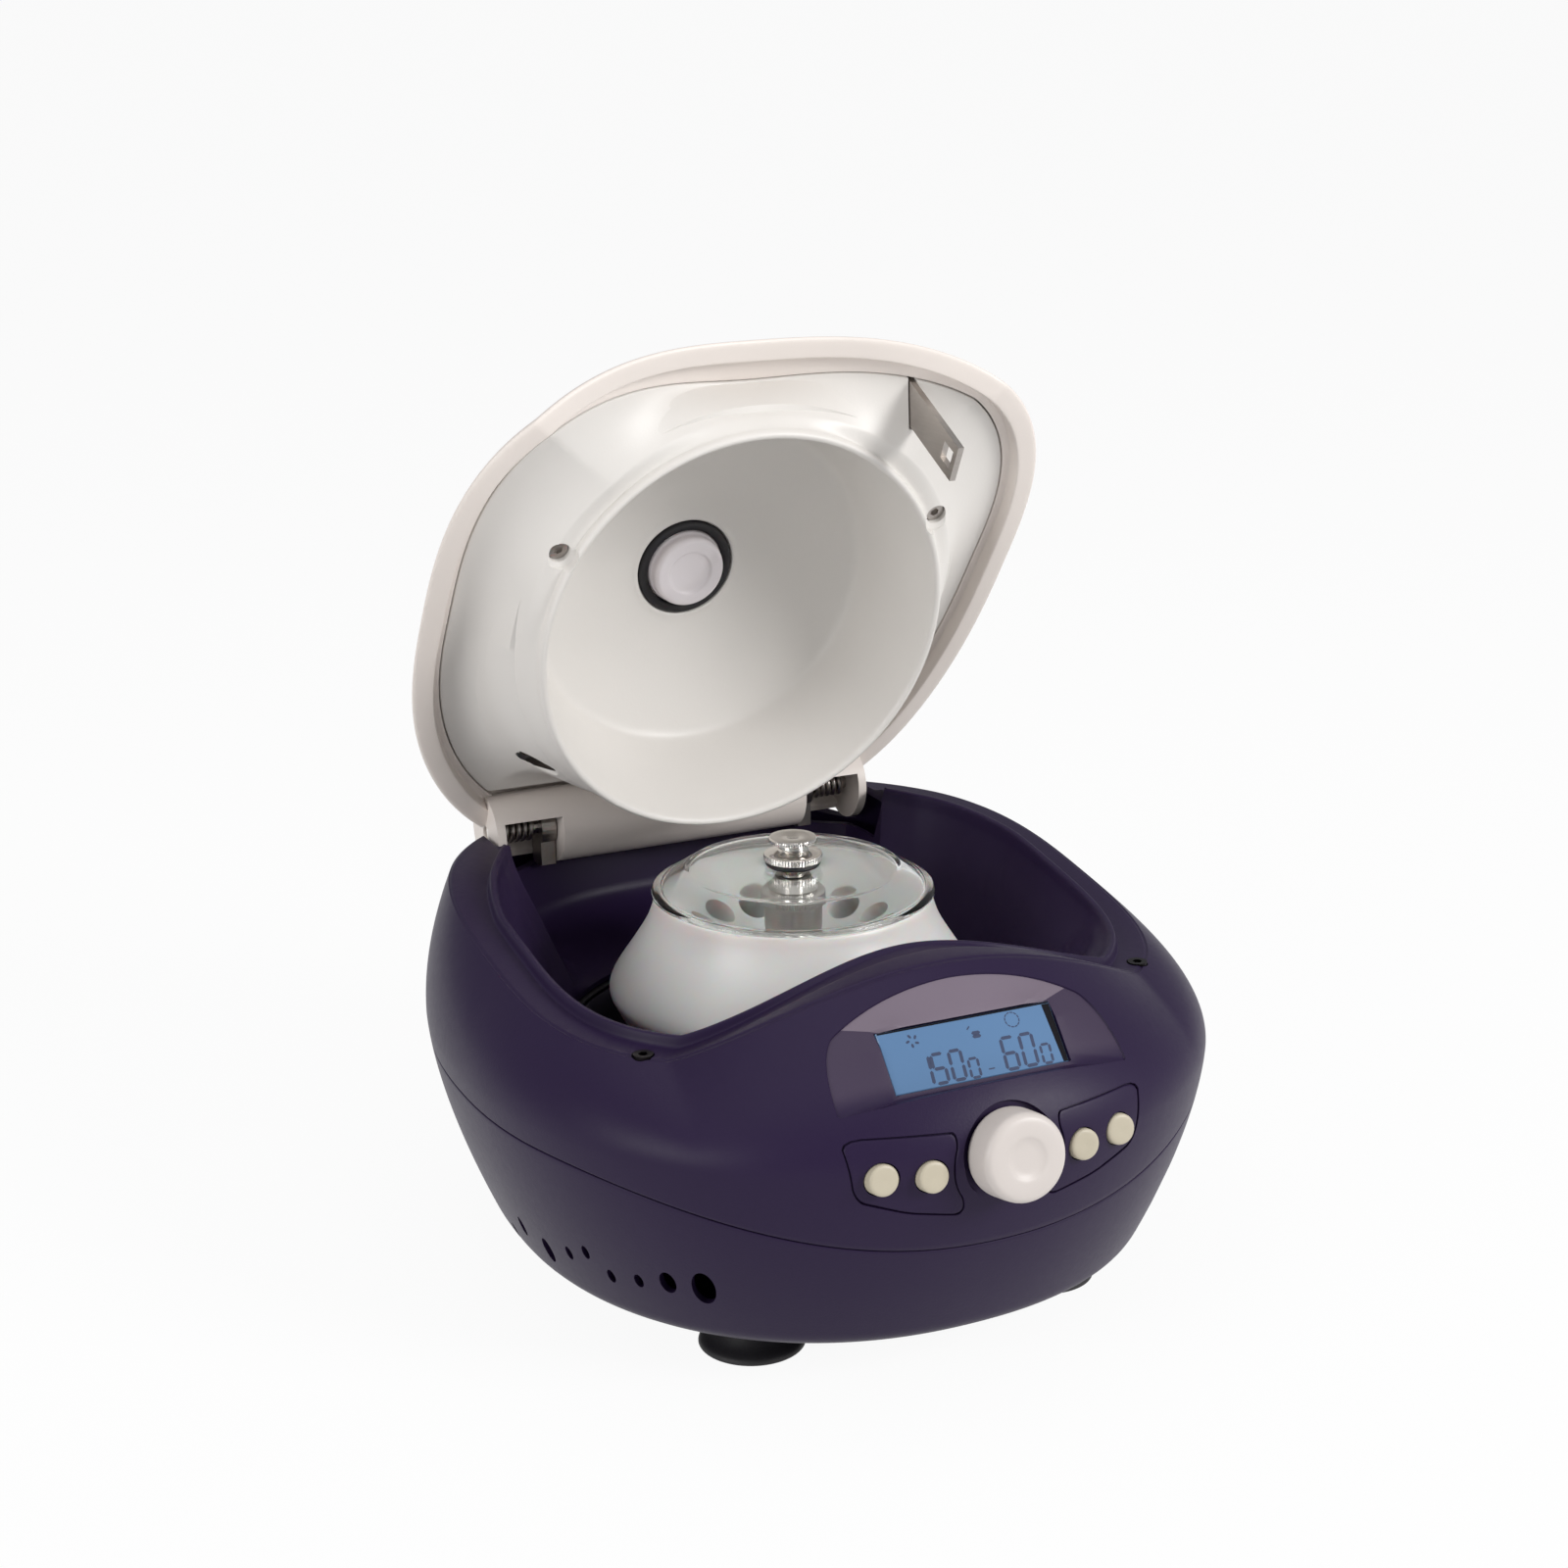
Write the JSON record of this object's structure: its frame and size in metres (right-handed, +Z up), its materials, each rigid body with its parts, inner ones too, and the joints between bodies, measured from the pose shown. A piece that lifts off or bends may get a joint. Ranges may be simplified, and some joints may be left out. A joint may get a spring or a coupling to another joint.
{
  "type": "high-speed centrifuge",
  "caption": "Bench-top laboratory centrifuge with an egg-shaped housing, hinged lid, angle rotor under a clear cover, display, knob and buttons.",
  "frame": {"origin": "on the bench, under the middle of the outline with the lid open", "axes": "+Z up, -Y towards the control panel, +X to the right of someone facing the panel"},
  "size_m": [0.2354, 0.2746, 0.2804],
  "materials": {
    "purple_plastic": "moulded, fine satin grain",
    "ivory_plastic": "moulded, warm white, satin",
    "liner_plastic": "moulded, cool white, satin",
    "rotor_plastic": "milky white, smooth",
    "clear_plastic": "clear, polished",
    "black_plastic": "black, satin",
    "black_rubber": "black, dull",
    "polished_steel": "polished",
    "satin_steel": "satin",
    "bowl_alloy": "dark, spun",
    "cream_plastic": "cream, satin",
    "knob_plastic": "off-white, satin",
    "display_glass": "back-lit blue display behind a flush window",
    "circuit_board": "green lacquer"
  },
  "bodies": {
    "base": {"lower_shell": "purple_plastic", "foot_1": "black_rubber", "foot_2": "black_rubber", "foot_3": "black_rubber", "foot_4": "black_rubber", "upper_housing": "purple_plastic", "rim_screw_left": "satin_steel", "rim_screw_right": "satin_steel", "display_window": "display_glass", "display_board": "circuit_board", "left_button_plate": "purple_plastic", "right_button_plate": "purple_plastic", "panel_board": "circuit_board", "knob_encoder": "black_plastic", "chamber_seal": "black_rubber", "chamber_bowl": "bowl_alloy", "motor_plate": "satin_steel", "rubber_mount_1": "black_rubber", "rubber_mount_2": "black_rubber", "rubber_mount_3": "black_rubber", "rubber_mount_4": "black_rubber", "motor": "black_plastic", "control_board": "circuit_board", "board_post_1": "cream_plastic", "board_post_2": "cream_plastic", "board_post_3": "cream_plastic", "power_inlet": "black_plastic", "inlet_blade_1": "satin_steel", "inlet_blade_2": "satin_steel", "inlet_blade_3": "satin_steel", "switch_frame": "black_plastic", "hinge_bracket_left": "satin_steel", "hinge_pin_left": "polished_steel", "hinge_spring_left": "satin_steel", "hinge_bracket_right": "satin_steel", "hinge_pin_right": "polished_steel", "hinge_spring_right": "satin_steel", "latch_housing": "black_plastic"},
    "lid": {"lid_shell": "ivory_plastic", "lid_liner": "liner_plastic", "striker_plate": "satin_steel", "liner_screw_1": "satin_steel", "liner_screw_2": "satin_steel", "liner_screw_3": "satin_steel", "liner_screw_4": "satin_steel", "port_lens": "clear_plastic", "port_seal": "black_rubber"},
    "rotor": {"rotor": "rotor_plastic", "rotor_hub": "satin_steel", "motor_shaft": "polished_steel"},
    "rotor_cover": {"rotor_cover": "clear_plastic", "cover_ring": "black_rubber", "cover_nut": "polished_steel"},
    "speed_knob": {"speed_knob": "knob_plastic"},
    "button_select": {"button_select": "cream_plastic"},
    "button_pulse": {"button_pulse": "cream_plastic"},
    "button_door": {"button_door": "cream_plastic"},
    "button_run": {"button_run": "cream_plastic"},
    "latch_bolt": {"latch_bolt": "satin_steel"},
    "power_rocker": {"power_rocker": "black_plastic"}
  },
  "joints": [
    {"name": "lid_hinge", "type": "hinge", "parent": "base", "child": "lid", "pos_m": [0, 0.10996, 0.1136], "axis": [-1, 0, 0], "range_deg": [-63.4, 0]},
    {"name": "rotor_spin", "type": "hinge", "parent": "base", "child": "rotor", "pos_m": [0, 0.01346, 0.08], "axis": [0, 0, 1], "continuous": true},
    {"name": "cover_lift", "type": "slide", "parent": "rotor", "child": "rotor_cover", "axis": [0, 0, 1], "range_m": [0, 0.05]},
    {"name": "knob_turn", "type": "hinge", "parent": "base", "child": "speed_knob", "pos_m": [0, -0.12567, 0.07876], "axis": [0, -0.9781, 0.2079], "continuous": true},
    {"name": "button_select_press", "type": "slide", "parent": "base", "child": "button_select", "axis": [0, 0.9781, -0.2079], "range_m": [0, 0.001], "stiffness_N_per_m": 400, "springref_m": -0.001},
    {"name": "button_pulse_press", "type": "slide", "parent": "base", "child": "button_pulse", "axis": [0, 0.9781, -0.2079], "range_m": [0, 0.001], "stiffness_N_per_m": 400, "springref_m": -0.001},
    {"name": "button_door_press", "type": "slide", "parent": "base", "child": "button_door", "axis": [0, 0.9781, -0.2079], "range_m": [0, 0.001], "stiffness_N_per_m": 400, "springref_m": -0.001},
    {"name": "button_run_press", "type": "slide", "parent": "base", "child": "button_run", "axis": [0, 0.9781, -0.2079], "range_m": [0, 0.001], "stiffness_N_per_m": 400, "springref_m": -0.001},
    {"name": "latch_slide", "type": "slide", "parent": "base", "child": "latch_bolt", "axis": [-1, 0, 0], "range_m": [0, 0.0045]},
    {"name": "rocker_tilt", "type": "hinge", "parent": "base", "child": "power_rocker", "pos_m": [0.02, 0.12646, 0.044], "axis": [-1, 0, 0], "range_deg": [0, 18]}
  ]
}
